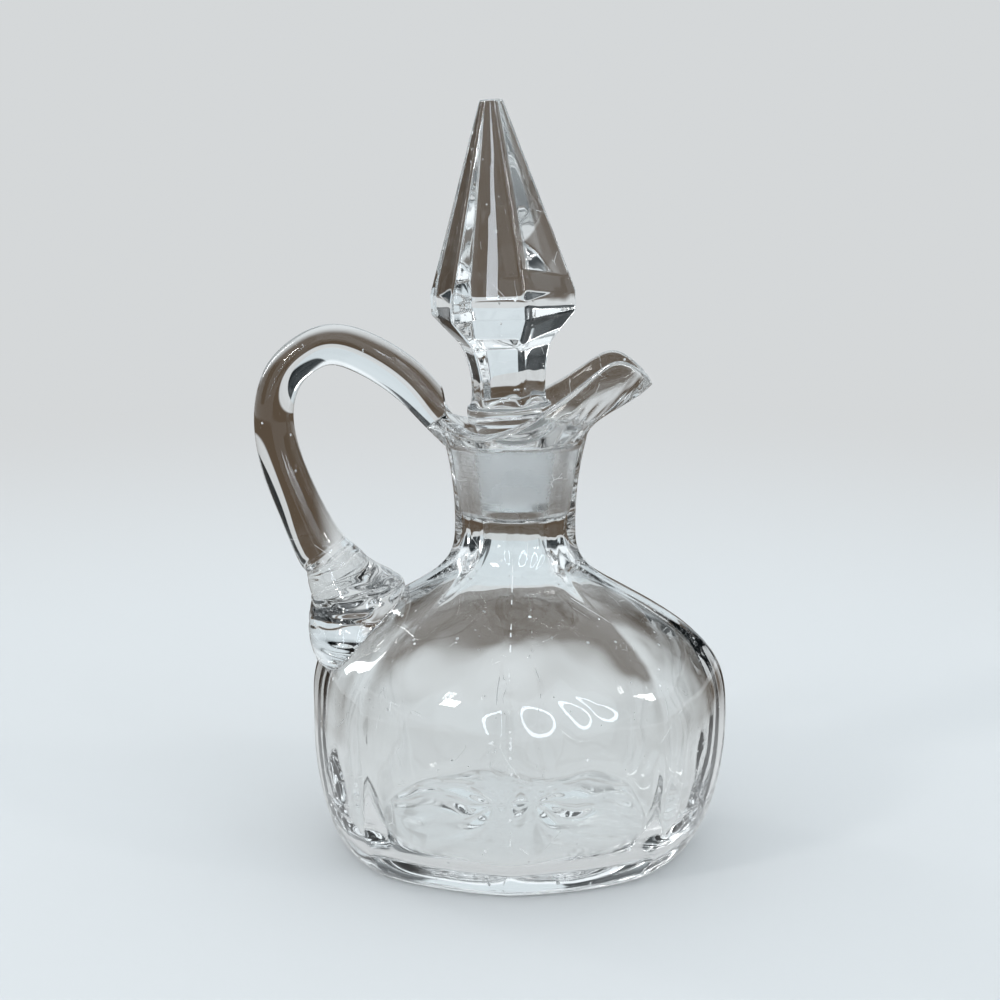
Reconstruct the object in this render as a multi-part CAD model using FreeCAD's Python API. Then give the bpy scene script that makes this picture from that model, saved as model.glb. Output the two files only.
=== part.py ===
import FreeCAD, Part
import math
import os

os.makedirs("parts", exist_ok=True)
Vector = FreeCAD.Vector

# Glass decanter, millimetres.  +Z is up, the base stands on Z = 0, the spout
# pours along +X and the handle is on the -X side.

# ---- body ----
PANELS = 8             # blown panels, one crease faces the spout
PANEL_BULGE = 0.957    # middle of a panel over its crease radius, 1 is round
FOOT_BULGE = 0.985     # the same where the panels start, above the base
NECK_BULGE = 0.965
THROAT_BULGE = 0.99
LIP_BULGE = 0.995
PANEL_TURN = -2.5      # degrees the creases sit off the spout's line
BASE_R = 36.8          # ring the decanter stands on
BASE_T = 5.2           # solid glass under the cavity
BELLY_R = 46.2         # crease radius at the widest level
BELLY_H = 30.0         # height of the widest level
BELLY_SHIFT = 1.0      # the blown belly leans a little to the spout
WALL = 3.1             # glass thickness of the body
SHOULDER_BEND = (0.34, 0.52, 0.70, 0.75)   # control heights from belly to neck

# ---- neck and ground bore ----
NECK_R = 13.4          # outside, at its narrowest
NECK_H = 73.0          # height of the narrowest level, which all above it follows
GROUND_STEP = 0.15     # ledge that the grinding leaves at both ends
GROUND_LOW_H = NECK_H + 2.0     # ground taper starts
GROUND_LOW_R = 7.65
CAVITY_NECK_R = GROUND_LOW_R - GROUND_STEP
GROUND_TOP_H = GROUND_LOW_H + 16.5
GROUND_TOP_R = 9.15

# ---- lip and spout ----
LIP_R = 15.7           # outside of the lip at the top of the ground taper
LIP_FLARE = 1.6        # how far the rim stands out past that
LIP_WALL = 3.0
SPOUT_REACH = 31.5     # tip of the beak from the axis
SPOUT_TIP_H = GROUND_TOP_H + 11.5
SPOUT_PINCH = 0.52     # 0 is a round front, 1 a knife edge
RIM_BACK_H = GROUND_TOP_H + 7.0
RIM_DIP_H = GROUND_TOP_H + 2.8
SPOUT_CREST_H = SPOUT_TIP_H + 7.0
SPOUT_CREST = 0.66     # where the rim is highest, over the spout's reach
RIM_RISE = ((-0.45, 0.0), (0.43, 0.39), (0.92, 0.71))   # over the lip's radius, over the rise
RIM_ROUND = 0.8        # fire-polished edges of the rim

# ---- handle ----
HANDLE_D = 8.7         # rod at its thinnest
HANDLE_REACH = 52.6    # centre line, furthest from the axis
HANDLE_TOP_H = GROUND_TOP_H + 20.5
HANDLE_ROOT_H = GROUND_TOP_H + 2.0      # where it leaves the lip
FOOT_RISE = 18 / 43    # of the way from the belly up to the neck
HANDLE_FOOT_H = BELLY_H + FOOT_RISE * (NECK_H - BELLY_H)    # where it is pressed on to the shoulder
FOOT_SPREAD = 16.5     # half width of the pressed foot

# ---- stopper ----
FIT_GAP = 0.05         # ground plug to ground bore
PLUG_LOW_H = GROUND_LOW_H + 2.0
PLUG_NECK_R = 7.9
PLUG_JOIN = 1.2        # how far the tilted collar sinks over the plug's neck
COLLAR_R = 9.2
COLLAR_LOW_H = GROUND_TOP_H + 4.1
COLLAR_T = 3.6
COLLAR_ROUND = 1.0
SHANK_R = 8.6          # across the corners, at its waist
SHANK_H = COLLAR_LOW_H + 7.4
GIRDLE_R = 16.4        # across the corners
GIRDLE_LOW_H = COLLAR_LOW_H + 23.7
GIRDLE_T = 4.4
CHAMFER_R = 10.6       # corner radius under the girdle's bevel
CHAMFER_H = GIRDLE_LOW_H - 6.5
SPIRE_TIP_R = 2.7
STOPPER_TOP_H = GIRDLE_LOW_H + 45.7
HEX_TURN = 17.0        # corner of the head past the front, towards the spout
HEAD_LEAN = 3.4        # the head leans to the handle
EDGE_ROUND = 0.35      # pressed edges of the head

# ---- how finely the lofts are cut up ----
OVER = 12.0            # how far cutting tools run past what they cut
JOIN = 0.5             # how far one hollow runs into the next
RING_POINTS = 5        # points along one panel of a ring
FOOT_LEVELS = 5        # rings from the base to the belly
SHOULDER_LEVELS = 9    # rings from the belly to the neck
THROAT_LEVELS = 3
LIP_RINGS = 9
SHANK_LEVELS = 5
OVAL_POINTS = 12
ON_FACE = 0.01         # an edge this near to a face lies on it


def bezier(ctrl, u):
    n = len(ctrl) - 1
    total = 0.0
    for k, value in enumerate(ctrl):
        total += math.comb(n, k) * (1 - u) ** (n - k) * u ** k * value
    return total


def mix(a, b, s):
    return a + (b - a) * s


def spline(points, closed=False):
    curve = Part.BSplineCurve()
    curve.interpolate(points, PeriodicFlag=closed)
    return curve


def ring(z, shift, back, side, front, pinch, bulge):
    """Closed ring of PANELS edges: a panelled round with a pulled front."""
    step = 2 * math.pi / PANELS
    edges = []
    for k in range(PANELS):
        points = []
        for j in range(RING_POINTS):
            s = j / (RING_POINTS - 1)
            t = (k + s) * step + math.radians(PANEL_TURN)
            dent = 1 - (1 - bulge) * (1 - (2 * s - 1) ** 2)
            ahead = math.cos(t)
            reach = front if ahead > 0 else back
            waist = 1 - pinch * max(0.0, ahead) ** 2
            x = shift + reach * ahead * dent
            y = side * math.sin(t) * waist * dent
            points.append(Vector(x, y, z))
        edges.append(spline(points).toShape())
    return Part.Wire(edges)


def round_ring(z, shift, radius, bulge):
    return ring(z, shift, radius, radius, radius, 0.0, bulge)


def body_rings(inset, floor_h, neck_r, neck_h):
    """Rings of the panelled body from its floor to its neck."""
    foot_r = BASE_R - inset
    belly_r = BELLY_R - inset
    rings = []
    for k in range(FOOT_LEVELS + 1):
        a = math.pi / 2 * k / FOOT_LEVELS
        z = mix(BELLY_H, floor_h, math.cos(a))
        r = mix(foot_r, belly_r, math.sin(a))
        bulge = mix(FOOT_BULGE, PANEL_BULGE, min(1.0, k / 3))
        rings.append(round_ring(z, BELLY_SHIFT * k / FOOT_LEVELS, r, bulge))
    heights = [0.0, *SHOULDER_BEND, 1.0]
    radii = [belly_r, belly_r, belly_r, neck_r, neck_r, neck_r]
    for k in range(1, SHOULDER_LEVELS + 1):
        u = k / SHOULDER_LEVELS
        z = mix(BELLY_H, neck_h, bezier(heights, u))
        r = bezier(radii, u)
        rings.append(round_ring(z, BELLY_SHIFT * (1 - u) ** 2, r, mix(PANEL_BULGE, NECK_BULGE, u)))
    return rings


def outer_skin():
    """Body, neck, flared lip and spout as one skin, still untrimmed."""
    rings = body_rings(0.0, 0.0, NECK_R, NECK_H)
    for k in range(1, THROAT_LEVELS + 1):
        s = k / THROAT_LEVELS
        z = mix(NECK_H, GROUND_TOP_H, s)
        r = mix(NECK_R, LIP_R, s * s)
        rings.append(round_ring(z, 0.0, r, mix(NECK_BULGE, THROAT_BULGE, s)))
    full = LIP_R + LIP_FLARE
    xs = [LIP_R, LIP_R + 0.8, SPOUT_REACH - 2.5, SPOUT_REACH, SPOUT_REACH + 2.0]
    zs = [GROUND_TOP_H, SPOUT_TIP_H - 4.5, SPOUT_TIP_H - 3.5, SPOUT_TIP_H, SPOUT_CREST_H + 2.0]
    return Part.makeLoft(rings + lip_rings(LIP_R, full, xs, zs)[1:], True, False)


def lip_rings(low_r, full_r, xs, zs):
    """Rings that flare from a round throat to a pinched, pulled front."""
    rings = []
    for k in range(LIP_RINGS):
        u = k / (LIP_RINGS - 1)
        flare = mix(low_r, full_r, math.sin(math.pi / 2 * min(1.0, 3.0 * u)))
        pinch = SPOUT_PINCH * u * u * (3 - 2 * u)
        rings.append(ring(bezier(zs, u), 0.0, flare, flare, bezier(xs, u), pinch, LIP_BULGE))
    return rings


def funnel():
    """Inside of the lip and the pouring channel."""
    low_r = GROUND_TOP_R + GROUND_STEP
    full = LIP_R + LIP_FLARE - LIP_WALL
    xs = [low_r, low_r + 4.1, SPOUT_REACH - 7.0, SPOUT_REACH - 3.5, SPOUT_REACH - 1.0]
    zs = [GROUND_TOP_H, SPOUT_TIP_H - 4.0, SPOUT_TIP_H - 0.8, SPOUT_TIP_H + 2.0, SPOUT_CREST_H + 2.5]
    return Part.makeLoft(lip_rings(low_r, full, xs, zs), True, False)


def rim_cutter():
    """Everything above the rim: a dipping saddle that crests at the spout."""
    crest_x = SPOUT_CREST * SPOUT_REACH
    rise = SPOUT_CREST_H - RIM_DIP_H
    line = [Vector(-LIP_R - OVER, 0, RIM_BACK_H + 1.0),
            Vector(-LIP_R - 2.0, 0, RIM_BACK_H),
            *[Vector(a * LIP_R, 0, RIM_DIP_H + b * rise) for a, b in RIM_RISE],
            Vector(crest_x, 0, SPOUT_CREST_H - 0.2),
            Vector(mix(crest_x, SPOUT_REACH, 0.5), 0, mix(SPOUT_TIP_H, SPOUT_CREST_H, 0.72)),
            Vector(SPOUT_REACH, 0, SPOUT_TIP_H),
            Vector(SPOUT_REACH + 4.0, 0, SPOUT_TIP_H - 4.5)]
    high = SPOUT_CREST_H + 2 * OVER
    edges = [spline(line).toShape()]
    corners = [line[-1], Vector(line[-1].x, 0, high), Vector(line[0].x, 0, high), line[0]]
    for a, b in zip(corners, corners[1:]):
        edges.append(Part.makeLine(a, b))
    face = Part.Face(Part.Wire(edges))
    face.translate(Vector(0, -2 * LIP_R, 0))
    return face.extrude(Vector(0, 4 * LIP_R, 0))


def handle():
    """Drawn rod: leaves the lip, loops out and is pressed on to the shoulder."""
    thin = HANDLE_D / 2
    lift = HANDLE_TOP_H - HANDLE_ROOT_H
    drop = HANDLE_TOP_H - HANDLE_FOOT_H
    # centre x, centre z, half thickness and half width over those of the thin rod
    rod = [(0.68 * LIP_R, HANDLE_ROOT_H - 0.8, 1.2, 1.45),
           (1.12 * LIP_R, HANDLE_ROOT_H + 0.27 * lift, 1.02, 1.12),
           (0.48 * HANDLE_REACH, HANDLE_ROOT_H + 0.67 * lift, 1.07, 1.05),
           (0.71 * HANDLE_REACH, HANDLE_TOP_H, 1.05, 1.05),
           (0.865 * HANDLE_REACH, HANDLE_TOP_H - 0.028 * drop, 1.0, 1.02),
           (0.962 * HANDLE_REACH, HANDLE_TOP_H - 0.11 * drop, 1.0, 1.02),
           (HANDLE_REACH, HANDLE_TOP_H - 0.24 * drop, 1.0, 1.05),
           (0.97 * HANDLE_REACH, HANDLE_TOP_H - 0.40 * drop, 1.08, 1.1),
           (0.89 * HANDLE_REACH, HANDLE_TOP_H - 0.57 * drop, 1.15, 1.2),
           (0.815 * HANDLE_REACH, HANDLE_TOP_H - 0.70 * drop, 1.3, 1.4)]
    # the same for the pressed foot, from where it spreads to its lower edge
    foot = [(0.872 * BELLY_R, 16.5, 0.38, 0.43),
            (0.822 * BELLY_R, 13.2, 0.48, 0.54),
            (0.752 * BELLY_R, 9.8, 0.63, 0.70),
            (0.765 * BELLY_R, 4.5, 0.62, 0.88),
            (0.77 * BELLY_R, -1.0, 0.60, 1.0),
            (0.765 * BELLY_R, -5.5, 0.54, 0.90)]
    centres = [Vector(-x, 0, z) for x, z, a, b in rod]
    centres.append(Vector(-foot[0][0], 0, HANDLE_FOOT_H + foot[0][1]))
    path = spline(centres)
    rings = []
    for (x, z, a, b), centre in zip(rod, centres):
        along = path.tangent(path.parameter(centre))[0]
        rings.append(oval(centre, along, a * thin, b * thin))
    for x, z, a, b in foot:
        tilt = 0.45 * max(0.0, z / foot[0][1]) ** 2
        centre = Vector(-x, 0, HANDLE_FOOT_H + z)
        rings.append(oval(centre, Vector(tilt, 0, -1), a * FOOT_SPREAD, b * FOOT_SPREAD))
    return Part.makeLoft(rings, True, False)


def oval(centre, along, half_in, half_wide):
    """Closed oval across a path that stays in the plane of the handle."""
    along = Vector(along).normalize()
    side = Vector(0, 1, 0)
    flat = side.cross(along)
    points = []
    for k in range(OVAL_POINTS):
        a = 2 * math.pi * k / OVAL_POINTS
        points.append(centre + flat * (half_in * math.cos(a)) + side * (half_wide * math.sin(a)))
    return Part.Wire(spline(points, True).toShape())


def edges_on(shape, face):
    """The edges of a shape that lie on a face, tested at their ends and middle."""
    found = []
    for edge in shape.Edges:
        places = [mix(edge.FirstParameter, edge.LastParameter, s) for s in (0.0, 0.5, 1.0)]
        gaps = [face.distToShape(Part.Vertex(edge.valueAt(place)))[0] for place in places]
        if max(gaps) < ON_FACE:
            found.append(edge)
    return found


def bottle():
    """Body, lip, spout and handle in one piece of glass, with the hollow cut out."""
    cavity = Part.makeLoft(body_rings(WALL, BASE_T, CAVITY_NECK_R, GROUND_LOW_H + JOIN), True, False)
    ground = Part.makeCone(GROUND_LOW_R, GROUND_TOP_R, GROUND_TOP_H - GROUND_LOW_H,
                           Vector(0, 0, GROUND_LOW_H))
    cutter = rim_cutter()
    channel = funnel()
    saddle = [face for face in cutter.Faces if "Plane" not in face.Surface.TypeId][0]
    glass = outer_skin().cut([cutter, channel])
    glass = glass.makeFillet(RIM_ROUND, edges_on(glass, saddle))
    glass = glass.fuse(handle().cut(channel))
    return glass.cut([cavity, ground])


def hexagon(z, radius):
    points = []
    for k in range(7):
        a = math.radians(HEX_TURN - 90 + 60 * k)
        points.append(Vector(radius * math.cos(a), radius * math.sin(a), z))
    return Part.makePolygon(points)


def head():
    """Six-sided spire, girdle and waisted shank with softened pressed edges."""
    girdle_top = GIRDLE_LOW_H + GIRDLE_T
    spire = Part.makeLoft([hexagon(girdle_top, GIRDLE_R), hexagon(STOPPER_TOP_H, SPIRE_TIP_R)], True, True)
    girdle = Part.makeLoft([hexagon(GIRDLE_LOW_H, GIRDLE_R), hexagon(girdle_top, GIRDLE_R)], True, True)
    bevel = Part.makeLoft([hexagon(CHAMFER_H, CHAMFER_R), hexagon(GIRDLE_LOW_H, GIRDLE_R)], True, True)
    low = COLLAR_LOW_H + COLLAR_T
    waist = []
    for k in range(SHANK_LEVELS + 1):
        z = mix(low, CHAMFER_H, k / SHANK_LEVELS)
        s = (z - SHANK_H) / (CHAMFER_H - SHANK_H)
        waist.append(hexagon(z, mix(SHANK_R, CHAMFER_R, s * s)))
    shank = Part.makeLoft(waist, True, False)
    glass = shank.fuse([bevel, girdle, spire]).removeSplitter()
    edges = [edge for edge in glass.Edges if edge.BoundBox.ZMax > low + ON_FACE]
    return glass.makeFillet(EDGE_ROUND, edges)


def stopper():
    """Head and collar, tilted as they were pressed, on the ground plug."""
    collar = Part.makeCylinder(COLLAR_R, COLLAR_T, Vector(0, 0, COLLAR_LOW_H))
    collar = collar.makeFillet(COLLAR_ROUND, collar.Edges[:1] + collar.Edges[2:])
    crown = head().fuse(collar)
    crown.rotate(Vector(0, 0, PLUG_LOW_H), Vector(0, 1, 0), -HEAD_LEAN)
    slope = (GROUND_TOP_R - GROUND_LOW_R) / (GROUND_TOP_H - GROUND_LOW_H)
    low_r = GROUND_LOW_R + slope * (PLUG_LOW_H - GROUND_LOW_H) - FIT_GAP
    plug = Part.makeCone(low_r, GROUND_TOP_R - FIT_GAP, GROUND_TOP_H - PLUG_LOW_H, Vector(0, 0, PLUG_LOW_H))
    root_h = COLLAR_LOW_H + PLUG_JOIN - GROUND_TOP_H
    root = Part.makeCylinder(PLUG_NECK_R, root_h, Vector(0, 0, GROUND_TOP_H))
    return crown.fuse([plug, root]).removeSplitter()


bottle().exportStep("parts/bottle.step")
stopper().exportStep("parts/stopper.step")
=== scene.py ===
from math import comb, cos, pi, radians, sin, sqrt

import bmesh
import bpy
import numpy as np
from mathutils import Matrix, Vector


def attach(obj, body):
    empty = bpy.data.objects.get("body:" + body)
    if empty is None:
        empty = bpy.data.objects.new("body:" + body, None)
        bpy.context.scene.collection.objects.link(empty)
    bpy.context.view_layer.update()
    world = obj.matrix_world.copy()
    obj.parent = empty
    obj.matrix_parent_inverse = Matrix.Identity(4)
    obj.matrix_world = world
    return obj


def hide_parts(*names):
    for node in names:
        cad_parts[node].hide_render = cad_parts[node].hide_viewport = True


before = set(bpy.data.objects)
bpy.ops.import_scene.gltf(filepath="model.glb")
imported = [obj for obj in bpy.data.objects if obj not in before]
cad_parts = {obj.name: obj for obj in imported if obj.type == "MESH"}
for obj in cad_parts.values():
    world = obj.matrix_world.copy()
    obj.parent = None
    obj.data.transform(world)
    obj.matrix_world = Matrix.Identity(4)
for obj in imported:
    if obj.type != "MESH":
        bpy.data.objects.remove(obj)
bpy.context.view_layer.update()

MM = 0.001                 # metres in a millimetre

# ---- the glass, in millimetres, as in the CAD source ----
PANELS = 8
PANEL_BULGE, FOOT_BULGE, NECK_BULGE = 0.957, 0.985, 0.965
THROAT_BULGE, LIP_BULGE = 0.99, 0.995
PANEL_TURN = radians(-2.5)
BASE_R, BASE_T = 36.8, 5.2
BELLY_R, BELLY_H, BELLY_SHIFT = 46.2, 30.0, 1.0
WALL = 3.1
SHOULDER_BEND = (0.0, 0.34, 0.52, 0.70, 0.75, 1.0)
NECK_R, NECK_H = 13.4, 73.0
GROUND_STEP = 0.15
GROUND_LOW_R, GROUND_LOW_H = 7.65, NECK_H + 2.0
GROUND_TOP_R, GROUND_TOP_H = 9.15, GROUND_LOW_H + 16.5
CAVITY_NECK_R = GROUND_LOW_R - GROUND_STEP
LIP_R, LIP_FLARE, LIP_WALL = 15.7, 1.6, 3.0
SPOUT_REACH, SPOUT_PINCH = 31.5, 0.52
SPOUT_TIP_H = GROUND_TOP_H + 11.5
SPOUT_CREST_H = SPOUT_TIP_H + 7.0
SPOUT_CREST = 0.66         # where the rim is highest, over the spout's reach
RIM_BACK_H, RIM_DIP_H = GROUND_TOP_H + 7.0, GROUND_TOP_H + 2.8
RIM_RISE = ((-0.45, 0.0), (0.43, 0.39), (0.92, 0.71))   # over the lip's radius, over the rise
HANDLE_D, FOOT_SPREAD = 8.7, 16.5
HANDLE_REACH = 52.57       # a little inside the solid's 52.6
HANDLE_TOP_H, HANDLE_ROOT_H = GROUND_TOP_H + 20.5, GROUND_TOP_H + 2.0
FOOT_RISE = 18 / 43        # of the way from the belly up to the neck
HANDLE_FOOT_H = BELLY_H + FOOT_RISE * (NECK_H - BELLY_H)

FIT_GAP = 0.05
PLUG_LOW_H, PLUG_NECK_R = GROUND_LOW_H + 2.0, 7.9
PLUG_GROUND_H = PLUG_LOW_H + 2.0       # the plug's foot is clear below this
COLLAR_R, COLLAR_LOW_H, COLLAR_T = 9.2, GROUND_TOP_H + 4.1, 3.6
SHANK_R, SHANK_H = 8.6, COLLAR_LOW_H + 7.4
GIRDLE_R, GIRDLE_LOW_H, GIRDLE_T = 16.4, COLLAR_LOW_H + 23.7, 4.4
CHAMFER_R, CHAMFER_H = 10.6, GIRDLE_LOW_H - 6.5
SPIRE_TIP_R, STOPPER_TOP_H = 2.7, GIRDLE_LOW_H + 45.7
HEX_TURN = radians(17.0)
HEAD_LEAN = radians(3.4)

# ---- how fine the meshes are ----
AROUND = 288               # columns round the bottle, a multiple of PANELS
HEEL_ROWS, SHOULDER_ROWS, NECK_ROWS = 26, 60, 16
BASE_ROWS, FLOOR_ROWS = 8, 14
LIP_ROWS, THROAT_ROWS, RIM_ROWS, BORE_ROWS = 26, 22, 10, 14
INNER_HEEL_ROWS, INNER_SHOULDER_ROWS = 22, 56
ROD_AROUND, ROD_ROWS, FOOT_ROWS = 72, 110, 100
CORNER_STEPS, FACET_STEPS = 4, 16      # along a corner and a side of the head's hexagons

# ---- how the hand-worked glass departs from its plain shape, in millimetres ----
CREASE_SOFT = 0.07         # part of a half panel that an outer crease rounds over
INNER_SOFT = 0.55          # the blown inside rounds over much more
INNER_BULGE = 0.968        # and its panels are fuller
BASE_HOLLOW = 0.8          # the base stands on its edge
RIM_ROUND = 1.0            # how high the fire-polished rim rounds over
SWELL, SWELL_SIZE = 0.16, 17.0         # slow unevenness of the blown wall, and how long it is
RIPPLE, RIPPLE_SIZE = 0.018, 6.0       # quick unevenness of its skin
PULLED = (0.4, 2.2, 0.4)   # the lip's ripples are long towards the spout and narrow across it
FLOOR_DOME = 1.2           # how far the cavity's floor stands up in its middle
FLOOR_WAVE, FLOOR_SIZE = 0.25, 11.0    # the floor's own unevenness
LOBES = 0.24               # height of the lobes that the panels leave in the cavity's floor
SEAM_DEPTH = 0.22          # pits along the mould's seam
SEAMS = (2, 6)             # creases that carry a seam
SEAM_ROWS = 80             # rows of the outside that show one, from its lowest
ROD_DIP = 0.010            # drawn lines and folds of the handle, over its own thickness
ROD_SLACK = 0.0006         # how much thinner the rod is all round, over its own thickness
HEAD_SWELL, HEAD_RIPPLE = 0.30, 0.05
HEAD_CORNER, CORNER_SHARE = 1.4, 0.42  # corner radius of the head, and its most over the ring's radius
HEAD_BEND = 0.55           # how far the profile's corners round over
FACET_SINK = 0.008         # how far a facet sinks in its middle, over its distance from the axis
CHIP = 0.5                 # how far the spire's tip is knocked down
BOTTLE_BUBBLES = ((-42.5, -4.0, 57.0, 0.30), (-38.5, 3.0, 52.0, 0.24), (-49.0, 1.0, 84.0, 0.20),
                  (-33.0, -1.0, 111.0, 0.22), (14.0, -22.0, 2.6, 0.30), (-9.0, 12.0, 2.4, 0.26),
                  (2.0, -31.0, 2.2, 0.22), (21.0, 9.0, 2.7, 0.24))
STOPPER_BUBBLES = ((-3.6, -5.0, 137.0, 0.26), (-2.0, 3.0, 121.5, 0.22), (0.4, -2.0, 103.0, 0.20))
WALL_SEED, THROAT_SEED, CAVITY_SEED, FLOOR_SEED = 3, 5, 7, 31
PIT_SEED, FOLD_SEED, HEAD_SEED, CHIP_SEED = 11, 13, 21, 23

CLEAR, GROUND = 0, 1       # material slots of both pieces


def mix(a, b, s):
    return a + (b - a) * s


def bezier(ctrl, u):
    """Point at u, from 0 to 1, of the curve with those control values."""
    n = len(ctrl) - 1
    return sum(comb(n, k) * (1 - u) ** (n - k) * u ** k * value for k, value in enumerate(ctrl))


def natural_spline(values, at):
    """Smooth curve through values spaced one apart, read at the places in at."""
    y = np.asarray(values, float)
    n = len(y)
    matrix = np.eye(n)
    right = np.zeros(n)
    for k in range(1, n - 1):
        matrix[k, k - 1:k + 2] = (1, 4, 1)
        right[k] = 6 * (y[k - 1] - 2 * y[k] + y[k + 1])
    bend = np.linalg.solve(matrix, right)
    k = np.clip(at.astype(int), 0, n - 2)
    s = at - k
    r = 1 - s
    return r * y[k] + s * y[k + 1] + ((r ** 3 - r) * bend[k] + (s ** 3 - s) * bend[k + 1]) / 6


# ---------------------------------------------------------------- bottle

theta = PANEL_TURN + np.arange(AROUND) * 2 * pi / AROUND


def dent(bulge, soft):
    """Panel shape round one ring: near 1 at a crease, bulge in the middle of a panel."""
    q = np.abs(((theta - PANEL_TURN) * PANELS / (2 * pi)) % 1.0 * 2 - 1)
    edge = 1 - soft
    arch = q ** 2 - np.where(q > edge, (q - edge) ** 2 / soft, 0.0)
    return 1 - (1 - bulge) * (1 - arch)


def ring(z, shift, back, side, front, pinch, bulge, soft=CREASE_SOFT):
    """Panelled ring at height z, whose reach differs to the back, side and front."""
    ahead = np.cos(theta)
    reach = np.where(ahead > 0, front, back)
    waist = 1 - pinch * np.maximum(0.0, ahead) ** 2
    shape = dent(bulge, soft)
    return np.stack([shift + reach * ahead * shape, side * np.sin(theta) * waist * shape,
                     np.full(AROUND, float(z))], axis=1)


def wobble(points, size, seed):
    """Smooth unevenness of about that size in mm, mostly between -1 and 1."""
    draw = np.random.default_rng(seed)
    total = np.zeros(len(points))
    waves = 9
    for _ in range(waves):
        way = draw.normal(size=3)
        way *= 2 * pi / size * draw.uniform(0.6, 1.5) / np.linalg.norm(way)
        total += np.sin(points @ way + draw.uniform(0, 2 * pi))
    return total / sqrt(waves)


def unevenness(points, size, seed):
    """The same from 0 to 1, so that it only takes away."""
    return 0.5 + 0.5 * np.clip(wobble(points, size, seed), -1, 1)


def uneven(rows, swell, ripple, seed, grain=(1, 1, 0.5)):
    """Push every point of some rings towards the axis by an uneven amount."""
    worked = []
    for row in rows:
        slow = unevenness(row, SWELL_SIZE, seed)
        quick = unevenness(row * grain, RIPPLE_SIZE, seed + 1)
        push = swell * slow + ripple * quick
        radius = np.hypot(row[:, 0], row[:, 1])
        moved = row.copy()
        moved[:, :2] *= (1 - push / np.maximum(radius, 1.0))[:, None]
        worked.append(moved)
    return worked


def pit_seams(rows):
    """Pits and nicks that the mould's joint leaves along two creases."""
    draw = np.random.default_rng(PIT_SEED)
    for row in rows:
        for seam in SEAMS:
            column = seam * AROUND // PANELS
            depth = SEAM_DEPTH * max(0.0, draw.uniform(-0.6, 1.0))
            row[column, :2] *= 1 - depth / np.hypot(*row[column, :2])
    return rows


def body_rows(inset, floor_h, neck_r, neck_h, heel_rows, shoulder_rows, bulge=PANEL_BULGE, soft=CREASE_SOFT):
    """Rows of the panelled body, from its floor's edge to its neck."""
    rows = []
    for k in range(heel_rows + 1):
        s = k / heel_rows
        r = mix(BASE_R - inset, BELLY_R - inset, sin(pi / 2 * s))
        z = mix(BELLY_H, floor_h, cos(pi / 2 * s))
        # the panels are full three fifths of the way to the belly
        fullness = mix(FOOT_BULGE, bulge, min(1.0, s * 5 / 3))
        rows.append(ring(z, BELLY_SHIFT * s, r, r, r, 0.0, fullness, soft))
    radii = [BELLY_R - inset] * 3 + [neck_r] * 3
    for k in range(1, shoulder_rows + 1):
        u = k / shoulder_rows
        r = bezier(radii, u)
        z = mix(BELLY_H, neck_h, bezier(SHOULDER_BEND, u))
        rows.append(ring(z, BELLY_SHIFT * (1 - u) ** 2, r, r, r, 0.0, mix(bulge, NECK_BULGE, u), soft))
    return rows


def rim_height(x):
    """Side view of the rim: a saddle that crests at the spout and droops at its tip."""
    crest_x = SPOUT_CREST * SPOUT_REACH
    rise = SPOUT_CREST_H - RIM_DIP_H
    xs = [-LIP_R - 2.0, *[a * LIP_R for a, b in RIM_RISE], crest_x,
          mix(crest_x, SPOUT_REACH, 0.5), SPOUT_REACH]
    zs = [RIM_BACK_H, *[RIM_DIP_H + b * rise for a, b in RIM_RISE], SPOUT_CREST_H - 0.2,
          mix(SPOUT_TIP_H, SPOUT_CREST_H, 0.72), SPOUT_TIP_H]
    along = np.linspace(0, len(xs) - 1, 600)
    return np.interp(x, natural_spline(xs, along), natural_spline(zs, along))


def lip_rows(low_r, full_r, xs, zs, count, trim):
    """Rows from a round throat up to trim below the rim, each column cut at its own height."""
    fine = np.linspace(0, 1, 400)
    grid = []
    for u in fine:
        flare = mix(low_r, full_r, sin(pi / 2 * min(1.0, 3.0 * u)))
        pinch = SPOUT_PINCH * u * u * (3 - 2 * u)
        grid.append(ring(bezier(zs, u), 0.0, flare, flare, bezier(xs, u), pinch, LIP_BULGE))
    grid = np.array(grid)
    above = grid[:, :, 2] - (rim_height(grid[:, :, 0]) - trim)
    rows = np.zeros((count, AROUND, 3))
    for j in range(AROUND):
        cut = np.argmax(above[:, j] > 0)
        part = above[cut, j] / (above[cut, j] - above[cut - 1, j])
        end = fine[cut] - part * (fine[1] - fine[0])
        for axis in range(3):
            rows[:, j, axis] = np.interp(np.linspace(0, end, count), fine, grid[:, j, axis])
    return list(rows)


def outer_lip(trim):
    """Outside of the lip and the spout."""
    xs = [LIP_R, LIP_R + 0.8, SPOUT_REACH - 2.5, SPOUT_REACH, SPOUT_REACH + 2.0]
    zs = [GROUND_TOP_H, SPOUT_TIP_H - 4.5, SPOUT_TIP_H - 3.5, SPOUT_TIP_H, SPOUT_CREST_H + 2.0]
    return lip_rows(LIP_R, LIP_R + LIP_FLARE, xs, zs, LIP_ROWS, trim)


def inner_lip(grow, trim):
    """Inside of the lip and the pouring channel, grown into the wall."""
    low_r = GROUND_TOP_R + GROUND_STEP + grow
    full = LIP_R + LIP_FLARE - LIP_WALL + grow
    xs = [low_r, low_r + 4.1, SPOUT_REACH - 7.0 + grow, SPOUT_REACH - 3.5 + grow, SPOUT_REACH - 1.0 + grow]
    zs = [GROUND_TOP_H, SPOUT_TIP_H - 4.0, SPOUT_TIP_H - 0.8, SPOUT_TIP_H + 2.0, SPOUT_CREST_H + 2.5]
    return lip_rows(low_r, full, xs, zs, THROAT_ROWS, trim)


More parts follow.
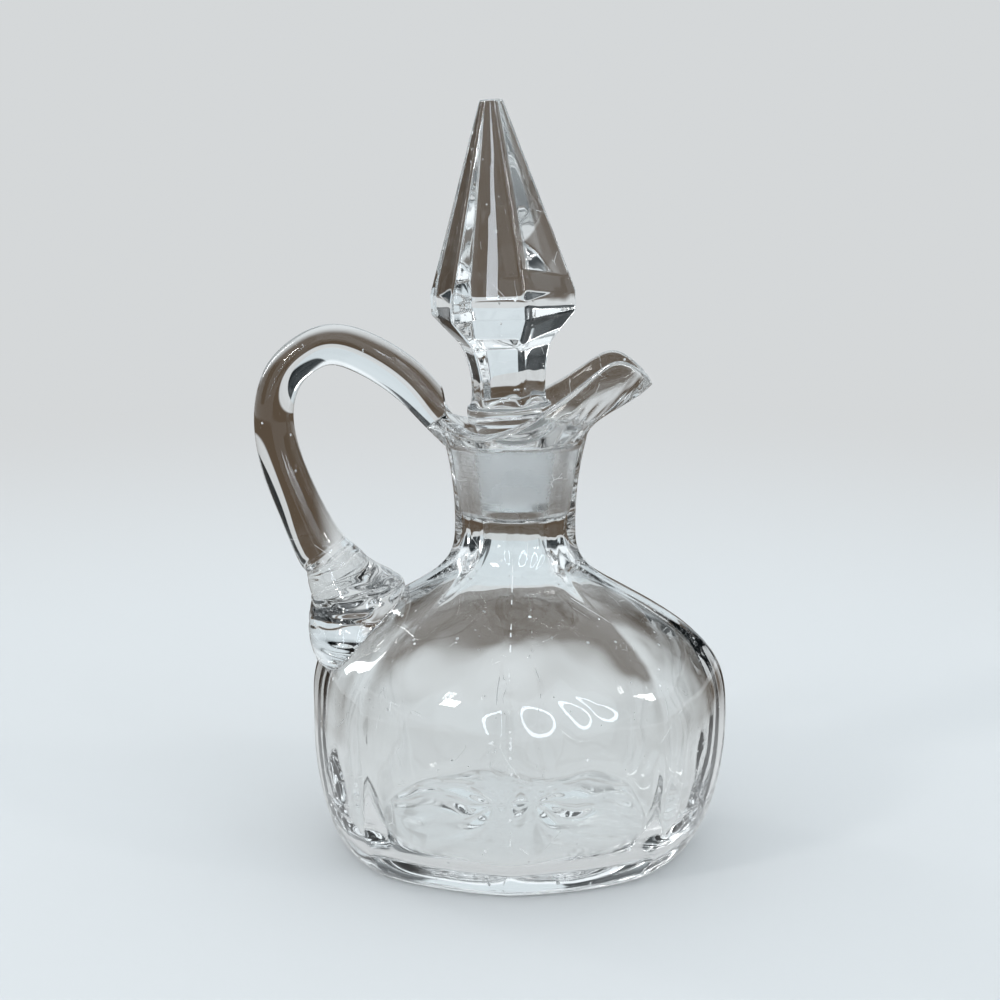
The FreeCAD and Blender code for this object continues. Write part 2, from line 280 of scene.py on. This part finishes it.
def neck_rows():
    """Rows from the narrowest level up to the lip."""
    rows = []
    for k in range(1, NECK_ROWS + 1):
        s = k / NECK_ROWS
        r = mix(NECK_R, LIP_R, s * s)
        rows.append(ring(mix(NECK_H, GROUND_TOP_H, s), 0.0, r, r, r, 0.0, mix(NECK_BULGE, THROAT_BULGE, s)))
    return rows


def ground_rows():
    """Rows down the ground bore, from its top."""
    rows = []
    for k in range(BORE_ROWS + 1):
        s = k / BORE_ROWS
        r = mix(GROUND_TOP_R, GROUND_LOW_R, s)
        rows.append(ring(mix(GROUND_TOP_H, GROUND_LOW_H, s), 0.0, r, r, r, 0.0, 1.0))
    return rows


def rim_rows(outside, inside):
    """Half round over the rim, from the last outer row to the last inner one."""
    middle = (outside + inside) / 2
    half = (outside - inside) / 2
    rise = np.zeros_like(middle)
    rise[:, 2] = 1.0
    rows = []
    for k in range(1, RIM_ROWS):
        a = pi * k / RIM_ROWS
        rows.append(middle + half * cos(a) + rise * (RIM_ROUND * sin(a)))
    return rows


def floor_rows(edge, count, dome):
    """Rows that close a floor towards its middle, raised there by dome, and that middle."""
    centre = edge.mean(axis=0)
    rows = []
    for k in range(1, count):
        s = 1 - k / count
        row = centre + (edge - centre) * s
        row[:, 2] += dome * (1 - s * s) ** 2
        rows.append(row)
    return rows, centre + np.array([0, 0, dome])


def grid_mesh(name, rows, first, last, ground_span=None):
    """Closed mesh of rows of points, with a middle point at both ends."""
    rows = [np.asarray(r) for r in rows]
    n = len(rows[0])
    verts = [first] + [p for row in rows for p in row] + [last]
    faces = []
    marks = []
    for j in range(n):
        faces.append((0, 1 + (j + 1) % n, 1 + j))
        marks.append(CLEAR)
    for k in range(len(rows) - 1):
        slot = GROUND if ground_span and ground_span[0] <= k < ground_span[1] else CLEAR
        for j in range(n):
            a = 1 + k * n + j
            b = 1 + k * n + (j + 1) % n
            faces.append((a, b, b + n, a + n))
            marks.append(slot)
    end = 1 + len(rows) * n
    for j in range(n):
        faces.append((end - n + j, end - n + (j + 1) % n, end))
        marks.append(CLEAR)
    mesh = bpy.data.meshes.new(name)
    mesh.from_pydata([tuple(float(c) * MM for c in v) for v in verts], [], faces)
    mesh.polygons.foreach_set("material_index", marks)
    mesh.update()
    obj = bpy.data.objects.new(name, mesh)
    bpy.context.scene.collection.objects.link(obj)
    return obj


def cavity_floor(edge):
    """Floor of the hollow, where the panels carry on as shallow lobes."""
    rows, middle = floor_rows(edge, FLOOR_ROWS, FLOOR_DOME)
    for k, row in enumerate(rows):
        s = (k + 1) / len(rows)
        lobe = 27 / 4 * s ** 2 * (1 - s)       # 0 at both ends, 1 two thirds of the way in
        row[:, 2] += LOBES * lobe * np.cos(PANELS * (theta - PANEL_TURN))
        row[:, 2] += FLOOR_WAVE * (1 - s) * wobble(row, FLOOR_SIZE, FLOOR_SEED)
    return rows, middle


def glass_shell():
    """Base, body, neck, lip, rim, ground bore and cavity as one closed skin."""
    outside = body_rows(0.0, 0.0, NECK_R, NECK_H, HEEL_ROWS, SHOULDER_ROWS) + neck_rows()
    base, base_mid = floor_rows(outside[0], BASE_ROWS, BASE_HOLLOW)
    outside = [outside[0]] + pit_seams(uneven(outside[1:], SWELL, RIPPLE, WALL_SEED))
    lip = uneven(outer_lip(RIM_ROUND)[1:], SWELL, 5 * RIPPLE, WALL_SEED, PULLED)
    throat = inner_lip(0.0, RIM_ROUND)
    # the two rows next to the bore, and three under it, stay true to the grinding
    throat = throat[:2] + uneven(throat[2:], SWELL, 6 * RIPPLE, THROAT_SEED, PULLED)
    rows = base[::-1] + outside + lip + rim_rows(lip[-1], throat[-1]) + throat[::-1]
    bore_from = len(rows) - 1
    rows += ground_rows()
    bore_to = len(rows)
    cavity = body_rows(WALL, BASE_T, CAVITY_NECK_R, GROUND_LOW_H, INNER_HEEL_ROWS, INNER_SHOULDER_ROWS,
                       INNER_BULGE, INNER_SOFT)
    cavity = uneven(cavity[:-3], 2.2 * SWELL, 2.0 * RIPPLE, CAVITY_SEED) + cavity[-3:]
    floor, floor_mid = cavity_floor(cavity[0])
    rows += cavity[::-1] + floor
    shell = grid_mesh("bottle_shell", rows, base_mid, floor_mid, (bore_from, bore_to))
    mark_seams(shell, len(base))
    return shell


def mark_seams(shell, lowest):
    """Attribute that is 1 along the seams of the outer skin, for the material."""
    marks = np.zeros(len(shell.data.vertices))
    for row in range(lowest, lowest + SEAM_ROWS):
        for seam in SEAMS:
            # vertex 0 is the middle of the base, and the rows follow it
            marks[1 + row * AROUND + seam * AROUND // PANELS] = 1.0
    shell.data.attributes.new("seam", "FLOAT", "POINT").data.foreach_set("value", marks)


def handle_keeper():
    """What the handle may not reach into: the hollow, grown about half way into the wall."""
    grow = WALL * 0.55
    rows = body_rows(WALL - grow, BASE_T - grow, CAVITY_NECK_R + grow, GROUND_LOW_H, 16, 40)
    for r, z in ((GROUND_LOW_R, GROUND_LOW_H + 1.0), (GROUND_TOP_R, GROUND_TOP_H - 0.5)):
        rows.append(ring(z, 0.0, r + grow, r + grow, r + grow, 0.0, 1.0))
    past_rim = 8.0
    rows += inner_lip(grow, -past_rim)
    return grid_mesh("keeper", rows, rows[0].mean(axis=0), rows[-1].mean(axis=0))


def handle_sizes():
    """Centre x and z, half thickness and half width of rings along the rod and its pressed foot."""
    thin = HANDLE_D / 2
    lift = HANDLE_TOP_H - HANDLE_ROOT_H
    drop = HANDLE_TOP_H - HANDLE_FOOT_H
    # the last two values are over the thin rod's half thickness
    rod = [(0.68 * LIP_R, HANDLE_ROOT_H - 0.8, 1.2, 1.45),
           (1.12 * LIP_R, HANDLE_ROOT_H + 0.27 * lift, 1.02, 1.12),
           (0.48 * HANDLE_REACH, HANDLE_ROOT_H + 0.67 * lift, 1.07, 1.05),
           (0.71 * HANDLE_REACH, HANDLE_TOP_H, 1.05, 1.05),
           (0.865 * HANDLE_REACH, HANDLE_TOP_H - 0.028 * drop, 1.0, 1.02),
           (0.962 * HANDLE_REACH, HANDLE_TOP_H - 0.11 * drop, 1.0, 1.02),
           (HANDLE_REACH, HANDLE_TOP_H - 0.24 * drop, 1.0, 1.05),
           (0.97 * HANDLE_REACH, HANDLE_TOP_H - 0.40 * drop, 1.08, 1.1),
           (0.89 * HANDLE_REACH, HANDLE_TOP_H - 0.57 * drop, 1.15, 1.2),
           (0.815 * HANDLE_REACH, HANDLE_TOP_H - 0.70 * drop, 1.3, 1.4)]
    # heights from the foot's own, and the last two values over its half width; the last ring is
    # higher than the solid's, because the edge rounds under it
    foot = [(0.872 * BELLY_R, 16.5, 0.38, 0.43), (0.822 * BELLY_R, 13.2, 0.48, 0.54),
            (0.752 * BELLY_R, 9.8, 0.63, 0.70), (0.765 * BELLY_R, 4.5, 0.62, 0.88),
            (0.77 * BELLY_R, -1.0, 0.60, 1.0), (0.765 * BELLY_R, -4.6, 0.54, 0.93)]
    sizes = [(-x, z, a * thin, b * thin) for x, z, a, b in rod]
    sizes += [(-x, HANDLE_FOOT_H + z, a * FOOT_SPREAD, b * FOOT_SPREAD) for x, z, a, b in foot]
    return np.array(sizes).T, len(rod)


def handle_path():
    """Where the foot starts, places along the handle, and its centre, sizes and heading there."""
    (xs, zs, thick, wide), foot_from = handle_sizes()
    last = len(xs) - 1.0
    places = np.arange(len(xs), dtype=float)
    before = np.clip(places - 0.05, 0, None)
    after = np.clip(places + 0.05, None, last)
    dx = natural_spline(xs, after) - natural_spline(xs, before)
    dz = natural_spline(zs, after) - natural_spline(zs, before)
    heading = np.unwrap(np.arctan2(dz, dx))
    # the foot's rings turn level as it goes down
    rise = (zs[foot_from:] - HANDLE_FOOT_H) / (zs[foot_from] - HANDLE_FOOT_H)
    heading[foot_from:] = np.arctan2(-1.0, 0.45 * np.maximum(0.0, rise) ** 2)
    heading = np.unwrap(heading)
    spread = foot_from - 1.0
    at = np.concatenate([np.linspace(0, spread, ROD_ROWS)[:-1], np.linspace(spread, last, FOOT_ROWS)])
    return foot_from, at, [natural_spline(v, at) for v in (xs, zs, thick, wide, heading)]


def rod_dip(place, foot_from, around, skin):
    """Dips of one ring: drawn lines along the rod, and folds across its pressed foot."""
    past = place - foot_from
    fold = np.clip((past + 1.0) / 1.5, 0, 1)
    wave = past * 2 * pi * 1.9 + 1.6 * np.sin(around) + 1.1 * wobble(skin, 8.0, FOLD_SEED)
    drawn = ROD_DIP * (1 + np.sin(5 * around + 0.8 * place))
    pressed = ROD_DIP * (1 + np.sin(wave) * (0.5 + 0.5 * np.sin(0.37 * wave + 2.0 * around)))
    return mix(drawn, pressed, fold) + ROD_SLACK


def handle_rod():
    """The drawn rod from inside the lip round to the foot pressed on the shoulder."""
    around = np.arange(ROD_AROUND) * 2 * pi / ROD_AROUND
    foot_from, places, path = handle_path()
    rows = []
    for place, x, z, thick, wide, heading in zip(places, *path):
        centre = np.array([x, 0.0, z])
        out = np.outer(thick * np.cos(around), [sin(heading), 0.0, -cos(heading)])
        out[:, 1] += wide * np.sin(around)
        dip = rod_dip(place, foot_from, around, centre + out)
        rows.append(centre + out * (1 - dip)[:, None])
    # the foot's lower edge rounds under
    under = np.array([0.0, 0.0, -1.3])
    last = rows[-1]
    middle = last.mean(axis=0)
    steps = 7
    for k in range(1, steps):
        a = pi / 2 * k / steps
        rows.append(middle + (last - middle) * mix(0.80, 1.0, cos(a)) + under * sin(a))
    return grid_mesh("handle", rows, rows[0].mean(axis=0), rows[-1].mean(axis=0))


def boolean(target, tool, operation):
    """Cut tool from target, or join it on, for good."""
    step = target.modifiers.new(operation.lower(), "BOOLEAN")
    step.operation = operation
    step.solver = "MANIFOLD"
    step.object = tool
    graph = bpy.context.evaluated_depsgraph_get()
    result = bpy.data.meshes.new_from_object(target.evaluated_get(graph))
    target.modifiers.clear()
    target.data = result
    bpy.data.objects.remove(tool)


def outward(obj):
    """Turn every face outward."""
    mesh = bmesh.new()
    mesh.from_mesh(obj.data)
    bmesh.ops.recalc_face_normals(mesh, faces=mesh.faces)
    if mesh.calc_volume(signed=True) < 0:
        bmesh.ops.reverse_faces(mesh, faces=mesh.faces)
    mesh.to_mesh(obj.data)
    mesh.free()


def smooth_shade(obj):
    obj.data.polygons.foreach_set("use_smooth", [True] * len(obj.data.polygons))
    obj.data.update()


def bubbles(obj, spots):
    """Air caught in the glass: closed hollows, each (x, y, z, radius) in mm."""
    mesh = bmesh.new()
    mesh.from_mesh(obj.data)
    for x, y, z, radius in spots:
        place = Matrix.Translation(Vector((x, y, z)) * MM) @ Matrix.Diagonal((1.0, 1.0, 1.5, 1.0))
        made = bmesh.ops.create_icosphere(mesh, subdivisions=2, radius=radius * MM, matrix=place)
        skin = {face for vert in made["verts"] for face in vert.link_faces}
        bmesh.ops.reverse_faces(mesh, faces=list(skin))
    mesh.to_mesh(obj.data)
    mesh.free()


def make_bottle(materials):
    """The blown shell with its handle joined on."""
    shell = glass_shell()
    rod = handle_rod()
    keeper = handle_keeper()
    for obj in (shell, rod, keeper):
        for material in materials:
            obj.data.materials.append(material)
        outward(obj)
    boolean(rod, keeper, "DIFFERENCE")
    boolean(shell, rod, "UNION")
    shell.name = "bottle_glass"
    bubbles(shell, BOTTLE_BUBBLES)
    smooth_shade(shell)
    return shell


# --------------------------------------------------------------- stopper

def hex_ring(z, radius, roundness):
    """Hexagon with rounded corners and sunk sides; roundness 1 turns it into a circle."""
    corner = min(HEAD_CORNER, CORNER_SHARE * radius)
    hub = radius - corner / cos(pi / 6)

    def on_corner(k, s):
        """Point of corner k, from its start at s 0 to its end at s 1."""
        middle = HEX_TURN - pi / 2 + k * pi / 3
        a = middle - pi / 6 + pi / 3 * s
        return np.array([hub * cos(middle) + corner * cos(a), hub * sin(middle) + corner * sin(a)])

    points = []
    for k in range(6):
        points += [on_corner(k, j / CORNER_STEPS) for j in range(CORNER_STEPS + 1)]
        for j in range(1, FACET_STEPS):
            s = j / FACET_STEPS
            sunk = 1 - FACET_SINK * 4 * s * (1 - s)
            points.append(mix(on_corner(k, 1.0), on_corner(k + 1, 0.0), s) * sunk)
    flat = np.array(points)
    angle = np.arctan2(flat[:, 1], flat[:, 0])
    circle = radius * np.stack([np.cos(angle), np.sin(angle)], axis=1)
    flat = mix(flat, circle, roundness)
    return np.column_stack([flat, np.full(len(flat), float(z))])


def bent(profile):
    """Profile of (z, radius, roundness) corners, each rounded off over HEAD_BEND."""
    steps = 5
    most = 0.45                # of the way to the next corner
    out = [profile[0]]
    for corners in zip(profile, profile[1:], profile[2:]):
        before, here, after = (np.array(corner) for corner in corners)
        ends = []
        for other in (before, after):
            reach = min(most, HEAD_BEND / np.linalg.norm((other - here)[:2]))
            ends.append(here + (other - here) * reach)
        out += [tuple(bezier([ends[0], here, ends[1]], k / steps)) for k in range(steps + 1)]
    out.append(profile[-1])
    return out


def leaned(row):
    """Ring turned about the plug's foot: not at all in the bore, and fully from the collar up."""
    z = row[:, 2] - PLUG_LOW_H
    share = np.clip((row[:, 2] - GROUND_TOP_H) / (COLLAR_LOW_H - GROUND_TOP_H), 0, 1)
    a = HEAD_LEAN * share
    out = row.copy()
    out[:, 0] = row[:, 0] * np.cos(a) - z * np.sin(a)
    out[:, 2] = PLUG_LOW_H + row[:, 0] * np.sin(a) + z * np.cos(a)
    return out


def stopper_profile():
    """Corners of the stopper's side view: height, radius and roundness."""
    slope = (GROUND_TOP_R - GROUND_LOW_R) / (GROUND_TOP_H - GROUND_LOW_H)
    low_r = GROUND_LOW_R + slope * (PLUG_LOW_H - GROUND_LOW_H) - FIT_GAP
    collar_top = COLLAR_LOW_H + COLLAR_T
    girdle_top = GIRDLE_LOW_H + GIRDLE_T
    profile = [(PLUG_LOW_H, low_r - 1.6, 1.0), (PLUG_LOW_H, low_r, 1.0)]
    # two rings close together keep the edge of the grinding sharp
    for z in (PLUG_GROUND_H, PLUG_GROUND_H + 0.2):
        profile.append((z, low_r + slope * (z - PLUG_LOW_H), 1.0))
    profile += [(GROUND_TOP_H, GROUND_TOP_R - FIT_GAP, 1.0), (GROUND_TOP_H + 0.4, PLUG_NECK_R, 1.0),
                (COLLAR_LOW_H, PLUG_NECK_R, 1.0), (COLLAR_LOW_H + 0.1, COLLAR_R, 1.0),
                (collar_top, COLLAR_R, 1.0), (collar_top + 0.3, SHANK_R + 0.2, 0.6)]
    levels = 8
    for k in range(1, levels + 1):
        z = mix(collar_top + 0.6, CHAMFER_H, k / levels)
        s = (z - SHANK_H) / (CHAMFER_H - SHANK_H)
        profile.append((z, mix(SHANK_R, CHAMFER_R, s * s), 0.0))
    return profile + [(GIRDLE_LOW_H, GIRDLE_R, 0.0), (girdle_top, GIRDLE_R, 0.0),
                      (STOPPER_TOP_H, SPIRE_TIP_R, 0.0), (STOPPER_TOP_H, 0.6 * SPIRE_TIP_R, 0.0)]


def make_stopper(materials):
    """Plug and collar as they were turned, and a pressed head that is a little uneven."""
    rows = [hex_ring(*corner) for corner in bent(stopper_profile())]
    plain = [row for row in rows if row[:, 2].mean() < COLLAR_LOW_H + COLLAR_T]
    worked = uneven(rows[len(plain):], HEAD_SWELL, HEAD_RIPPLE, HEAD_SEED)
    worked[-1][:, 2] -= CHIP * unevenness(worked[-1], 3.0, CHIP_SEED)
    rows = [leaned(row) for row in plain + worked]
    ground = [k for k, row in enumerate(rows) if PLUG_GROUND_H < row[:, 2].mean() < GROUND_TOP_H + 0.05]
    obj = grid_mesh("stopper_glass", rows, rows[0].mean(axis=0), rows[-1].mean(axis=0),
                    (ground[0] - 1, ground[-1] + 1))
    for material in materials:
        obj.data.materials.append(material)
    outward(obj)
    bubbles(obj, STOPPER_BUBBLES)
    smooth_shade(obj)
    return obj


# -------------------------------------------------------------- materials

GLASS_IOR = 1.52
GREENISH, COLOURLESS = (0.962, 0.980, 0.979, 1.0), (0.985, 0.994, 0.993, 1.0)
WORN = 0.55                # how matt and how white a chip or a scratch is


class Tree:
    """Short calls for building a node tree."""

    def __init__(self, owner):
        owner.use_nodes = True
        self.nodes = owner.node_tree.nodes
        self.links = owner.node_tree.links

    def add(self, kind, settings=None, **inputs):
        """Node with its settings, and inputs by name or, as _0, by number."""
        made = self.nodes.new("ShaderNode" + kind)
        for key, value in (settings or {}).items():
            setattr(made, key, value)
        for key, value in inputs.items():
            self.feed(made, int(key[1:]) if key[1:].isdigit() else key.replace("_", " "), value)
        return made

    def feed(self, node, socket, value):
        """Link a socket to an input, or set its value."""
        if isinstance(value, bpy.types.NodeSocket):
            self.links.new(value, node.inputs[socket])
        else:
            node.inputs[socket].default_value = value

    def math(self, operation, *values):
        """Math node with its result."""
        made = self.nodes.new("ShaderNodeMath")
        made.operation = operation
        for k, value in enumerate(values):
            self.feed(made, k, value)
        return made.outputs[0]

    def fade(self, value, low, high, to_low=0.0, to_high=1.0):
        """Smooth step from to_low to to_high while value goes from low to high."""
        made = self.nodes.new("ShaderNodeMapRange")
        made.interpolation_type = "SMOOTHSTEP"
        for key, number in zip(("Value", "From Min", "From Max", "To Min", "To Max"),
                               (value, low, high, to_low, to_high)):
            self.feed(made, key, number)
        return made.outputs[0]

    def blend(self, share, first, second):
        """Colour between first and second."""
        made = self.nodes.new("ShaderNodeMix")
        made.data_type = "RGBA"
        self.feed(made, 0, share)
        self.feed(made, 6, first)
        self.feed(made, 7, second)
        return made.outputs[2]


def noise(tree, place, scale, detail, distortion=0.0):
    """Noise from 0 to 1."""
    made = tree.add("TexNoise", Vector=place, Scale=scale, Detail=detail, Distortion=distortion)
    return made.outputs["Fac"]


def wear(tree, place):
    """Mask of dust, pin-prick chips and hair scratches on old glass."""
    # cells of 3 mm, of which about one in four holds a speck
    cells = tree.add("TexVoronoi", Vector=place, Scale=330.0)
    pick = tree.add("SeparateColor", Color=cells.outputs["Color"])
    size = tree.fade(pick.outputs[0], 0.72, 1.0, 0.0, 0.13)
    specks = tree.math("LESS_THAN", cells.outputs["Distance"], size)
    # hairlines on the edges of 12 mm cells, in a few places only
    lines = tree.add("TexVoronoi", {"feature": "DISTANCE_TO_EDGE"}, Vector=place, Scale=85.0)
    hair = tree.math("LESS_THAN", lines.outputs["Distance"], 0.003)
    where = noise(tree, place, 140.0, 2.0)
    hair = tree.math("MULTIPLY", hair, tree.math("GREATER_THAN", where, 0.64))
    # the seam shows as a dotted line
    seam = tree.add("Attribute", {"attribute_name": "seam"}).outputs["Fac"]
    dots = tree.math("GREATER_THAN", noise(tree, place, 420.0, 2.0), 0.58)
    seam = tree.math("MULTIPLY", tree.math("GREATER_THAN", seam, 0.76), dots)
    return tree.math("MAXIMUM", tree.math("MAXIMUM", specks, hair), seam)


def glass_tree(name):
    """New glass material, its nodes, its shader and the place that its textures read."""
    material = bpy.data.materials.new(name)
    tree = Tree(material)
    glass = tree.nodes["Principled BSDF"]
    glass.inputs["IOR"].default_value = GLASS_IOR
    return material, tree, glass, tree.add("TexCoord").outputs["Object"]


def clear_glass():
    """Blown glass with a thin film of smears, and worn spots that scatter light."""
    material, tree, glass, place = glass_tree("clear_glass")
    worn = tree.math("MULTIPLY", wear(tree, place), WORN)
    smear = noise(tree, place, 70.0, 5.0, 0.6)
    film = tree.fade(smear, 0.52, 0.72, 0.0, 0.012)
    tree.feed(glass, "Roughness", tree.math("MAXIMUM", film, worn))
    tree.feed(glass, "Transmission Weight", tree.math("SUBTRACT", 1.0, worn))
    tree.feed(glass, "Base Color", tree.blend(smear, GREENISH, COLOURLESS))
    return material


def ground_glass(name, clearness, roughness):
    """Wheel-ground glass: clearness is how much of the light still goes through."""
    material, tree, glass, place = glass_tree(name)
    grit = noise(tree, place, 1500.0, 4.0)
    cloud = noise(tree, place, 160.0, 3.0)
    # the wheel leaves fine level rings
    level = tree.math("MULTIPLY", tree.add("SeparateXYZ", Vector=place).outputs["Z"], 9000.0)
    rings = tree.math("SINE", tree.math("ADD", level, tree.math("MULTIPLY", grit, 4.0)))
    height = tree.math("ADD", grit, tree.math("MULTIPLY", rings, 0.12))
    patchy = 0.08
    rough = tree.fade(cloud, 0.3, 0.7, roughness - patchy, roughness + patchy)
    through = tree.fade(cloud, 0.3, 0.7, clearness - patchy, clearness + patchy)
    tree.feed(glass, "Roughness", rough)
    tree.feed(glass, "Transmission Weight", through)
    tree.feed(glass, "Base Color", tree.blend(cloud, (0.96, 0.985, 1.0, 1.0), (1.0, 1.0, 1.0, 1.0)))
    bump = tree.add("Bump", Strength=0.35, Distance=0.00012, Height=height)
    tree.feed(glass, "Normal", bump.outputs[0])
    return material


# ------------------------------------------------------------------ studio

BACKDROP = (0.665, 0.685, 0.695, 1.0)      # what the camera sees behind the glass
FLOOR_PAINT = (0.57, 0.57, 0.57, 1.0)
DARK_BAND = (0.100, 0.074, 0.052, 1.0)     # darker ring of floor that only the glass shows
BAND_FROM, BAND_TO, BAND_SOFT = 0.140, 0.72, 0.05      # metres from the middle of the floor
WALL_GAP, PALE_WALL = (0.020, 0.026, 0.030, 1.0), (0.68, 0.75, 0.79, 1.0)
CEILING = (0.98, 1.04, 1.08, 1.0)
RING_GLOW = (9.0, 10.0, 11.0, 1.0)
EVEN_ROOM = (1.12, 1.22, 1.28, 1.0)        # the room as scattered light finds it
# azimuth, elevation, half width and half height of each ring lamp, in degrees
RING_LIGHTS = ((-63, 19, 4.4, 18.0), (-50, 22, 3.2, 18.0), (-42, 26, 2.4, 17.0), (-123, 12, 2.8, 18.0))
RING_THICK = 0.11          # half the ring's own thickness, over its half width
WINDOW_BAR = 0.018         # metres between two panes
LAMP_AIM = (0.0, 0.0, 0.08)
CAMERA_AT, CAMERA_TILT, CAMERA_LENS = (-3.3 * MM, -566 * MM, 194 * MM), radians(90 - 11.6), 94.8


def scattered(tree, path):
    """1 for light that a matt or ground surface has scattered, which no dark part of the room dims."""
    return tree.math("GREATER_THAN", path.outputs["Diffuse Depth"], 0.5)


def studio_floor():
    """Pale painted floor that fades into the backdrop; the glass finds a darker ring on it."""
    bpy.ops.mesh.primitive_plane_add(size=8.0)
    floor = bpy.context.object
    floor.name = "floor"
    material = bpy.data.materials.new("floor_paint")
    tree = Tree(material)
    paint = tree.nodes["Principled BSDF"]
    paint.inputs["Base Color"].default_value = FLOOR_PAINT
    paint.inputs["Roughness"].default_value = 0.7
    paint.inputs["Specular IOR Level"].default_value = 0.1
    place = tree.add("TexCoord").outputs["Object"]
    radius = tree.add("VectorMath", {"operation": "LENGTH"}, _0=place).outputs["Value"]
    pale = tree.add("Emission", Color=BACKDROP, Strength=1.0).outputs[0]
    far = tree.fade(radius, 0.16, 0.60)
    seen = tree.add("MixShader", _0=far, _1=paint.outputs[0], _2=pale).outputs[0]
    band = tree.math("MULTIPLY", tree.fade(radius, BAND_FROM - BAND_SOFT, BAND_FROM + BAND_SOFT),
                     tree.fade(radius, BAND_TO - BAND_SOFT, BAND_TO + BAND_SOFT, 1.0, 0.0))
    path = tree.add("LightPath")
    band = tree.math("MULTIPLY", band, tree.math("SUBTRACT", 1.0, scattered(tree, path)))
    shown = tree.add("Emission", Color=tree.blend(band, BACKDROP, DARK_BAND), Strength=1.0).outputs[0]
    # close to the object the glass still shows a fifth of the paint, with its shadow
    share = tree.fade(radius, 0.05, 0.20, 0.8, 1.0)
    through = tree.add("MixShader", _0=share, _1=paint.outputs[0], _2=shown).outputs[0]
    final = tree.add("MixShader", _0=path.outputs["Is Camera Ray"], _1=through, _2=seen)
    tree.links.new(final.outputs[0], tree.nodes["Material Output"].inputs["Surface"])
    floor.data.materials.append(material)


def ring_light(tree, turn, lift, azimuth, elevation, wide, high):
    """A thin upright ring in the sky; all in degrees."""
    across = tree.math("DIVIDE", tree.math("SUBTRACT", turn, radians(azimuth)), radians(wide))
    up = tree.math("DIVIDE", tree.math("SUBTRACT", lift, radians(elevation)), radians(high))
    squares = [tree.math("MULTIPLY", part, part) for part in (across, up)]
    away = tree.math("SQRT", tree.math("ADD", *squares))
    return tree.math("COMPARE", away, 1.0, RING_THICK)


def studio_world():
    """Pale walls with dark gaps between them and a bright ceiling, plain to the camera."""
    world = bpy.data.worlds.new("studio")
    bpy.context.scene.world = world
    tree = Tree(world)
    sky = tree.nodes["Background"]
    way = tree.add("TexCoord").outputs["Generated"]
    parts = tree.add("SeparateXYZ", Vector=way)
    turn = tree.math("ARCTAN2", parts.outputs["Y"], parts.outputs["X"])
    stripes = tree.math("SINE", tree.math("ADD", tree.math("MULTIPLY", turn, 5.0), 0.6))
    wall = tree.blend(tree.fade(stripes, -0.25, 0.0), WALL_GAP, PALE_WALL)
    ceiling = tree.fade(parts.outputs["Z"], 0.42, 0.62)
    room = tree.blend(ceiling, wall, CEILING)
    lift = tree.math("ARCSINE", parts.outputs["Z"])
    lights = 0.0
    for place_and_size in RING_LIGHTS:
        lights = tree.math("MAXIMUM", lights, ring_light(tree, turn, lift, *place_and_size))
    path = tree.add("LightPath")
    # only the outer skin of the glass mirrors them
    lights = tree.math("MULTIPLY", lights, tree.math("LESS_THAN", path.outputs["Transmission Depth"], 0.5))
    room = tree.blend(lights, room, RING_GLOW)
    room = tree.blend(scattered(tree, path), room, EVEN_ROOM)
    tree.feed(sky, "Color", tree.blend(path.outputs["Is Camera Ray"], room, BACKDROP))
    sky.inputs["Strength"].default_value = 1.0


def lamp(name, place, size, power):
    """Rectangular lamp that faces the object."""
    data = bpy.data.lights.new(name, "AREA")
    data.shape = "RECTANGLE"
    data.size, data.size_y = size
    data.energy = power
    obj = bpy.data.objects.new(name, data)
    bpy.context.scene.collection.objects.link(obj)
    obj.location = place
    obj.rotation_euler = (Vector(LAMP_AIM) - Vector(place)).to_track_quat("-Z", "Y").to_euler()
    return obj


def window(name, place, pane, columns, rows, power):
    """A soft window of panes with bars between them."""
    first = lamp(name, place, pane, power / (columns * rows))
    right, up = (first.rotation_euler.to_matrix().col[k] for k in (0, 1))
    panes = [first] + [first.copy() for _ in range(columns * rows - 1)]
    for other in panes[1:]:
        bpy.context.scene.collection.objects.link(other)
    for k, obj in enumerate(panes):
        i, j = divmod(k, rows)
        across = (i - (columns - 1) / 2) * (pane[0] + WINDOW_BAR)
        upward = (j - (rows - 1) / 2) * (pane[1] + WINDOW_BAR)
        obj.location = Vector(place) + (right * across + up * upward)


def studio_lamps():
    """A window on either side in front, and a strip behind, in metres and watts."""
    window("window_left", (-1.20, -1.05, 1.05), (0.085, 0.085), 2, 3, 5.5)
    window("window_right", (1.45, -0.70, 0.95), (0.08, 0.13), 2, 2, 3.0)
    lamp("strip", (-1.25, 1.05, 0.75), (0.14, 0.9), 3.0)


def photographer():
    """The camera, in front and a little above, looking slightly down."""
    data = bpy.data.cameras.new("camera")
    data.lens = CAMERA_LENS
    camera = bpy.data.objects.new("camera", data)
    bpy.context.scene.collection.objects.link(camera)
    camera.location = CAMERA_AT
    camera.rotation_euler = (CAMERA_TILT, 0, 0)
    bpy.context.scene.camera = camera


clear = clear_glass()
bore = ground_glass("ground_bore", 0.91, 0.30)
plug = ground_glass("ground_plug", 0.16, 0.50)
for piece, node in ((make_bottle((clear, bore)), "bottle"), (make_stopper((clear, plug)), "stopper")):
    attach(piece, "root")
    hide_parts(node)
studio_floor()
studio_world()
studio_lamps()
photographer()
bpy.context.scene.view_settings.view_transform = "Standard"
# light goes back and forth in thick glass many times before it leaves
paths = bpy.context.scene.cycles
paths.max_bounces = paths.transmission_bounces = paths.glossy_bounces = 16
paths.diffuse_bounces = 1
